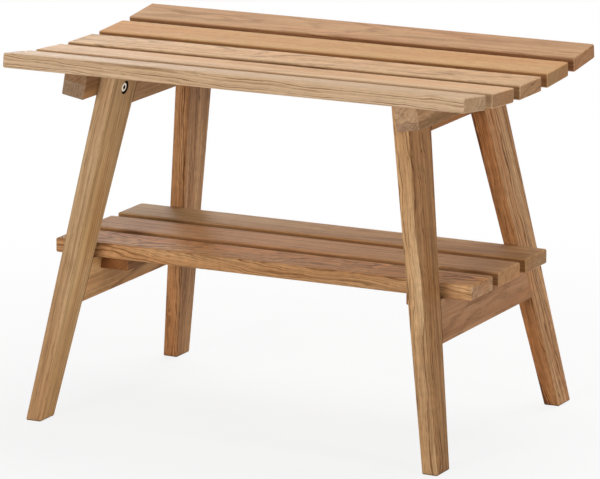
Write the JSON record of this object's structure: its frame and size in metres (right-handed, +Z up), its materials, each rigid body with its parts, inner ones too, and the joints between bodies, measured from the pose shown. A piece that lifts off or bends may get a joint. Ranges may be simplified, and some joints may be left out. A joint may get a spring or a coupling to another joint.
{
  "type": "wooden bench with shelf",
  "caption": "Low slatted oak bench with a dished seat, splayed tapered legs in leaning side frames and a slatted shelf below.",
  "frame": {"origin": "on the floor, under the middle of the bench", "axes": "+X along the slats to the right, +Y from front to back, +Z up"},
  "size_m": [0.608, 0.3834, 0.4497],
  "materials": {
    "oak_slats": "oiled oak, satin",
    "oak_frames": "oiled oak, satin",
    "beech": "plain beech, fluted by the maker, smooth here",
    "steel": "zinc-plated steel, satin",
    "brass": "plain brass"
  },
  "bodies": {
    "root": {"seat_slat_front": "oak_slats", "seat_slat_mid_front": "oak_slats", "seat_slat_centre": "oak_slats", "seat_slat_mid_back": "oak_slats", "seat_slat_back": "oak_slats", "shelf_slat_front": "oak_slats", "shelf_slat_centre": "oak_slats", "shelf_slat_back": "oak_slats", "leg_front_left": "oak_frames", "leg_front_right": "oak_frames", "leg_back_left": "oak_frames", "leg_back_right": "oak_frames", "seat_crossbar_left": "oak_frames", "seat_crossbar_right": "oak_frames", "top_rail_left": "oak_frames", "top_rail_right": "oak_frames", "shelf_rail_left": "oak_frames", "shelf_rail_right": "oak_frames", "shelf_batten_left": "oak_frames", "shelf_batten_right": "oak_frames", "frame_bolts": "steel", "seat_slat_screws": "steel", "shelf_slat_screws": "steel", "shelf_fixing_screws": "steel", "insert_nuts": "brass", "frame_dowels": "beech"}
  },
  "joints": []
}
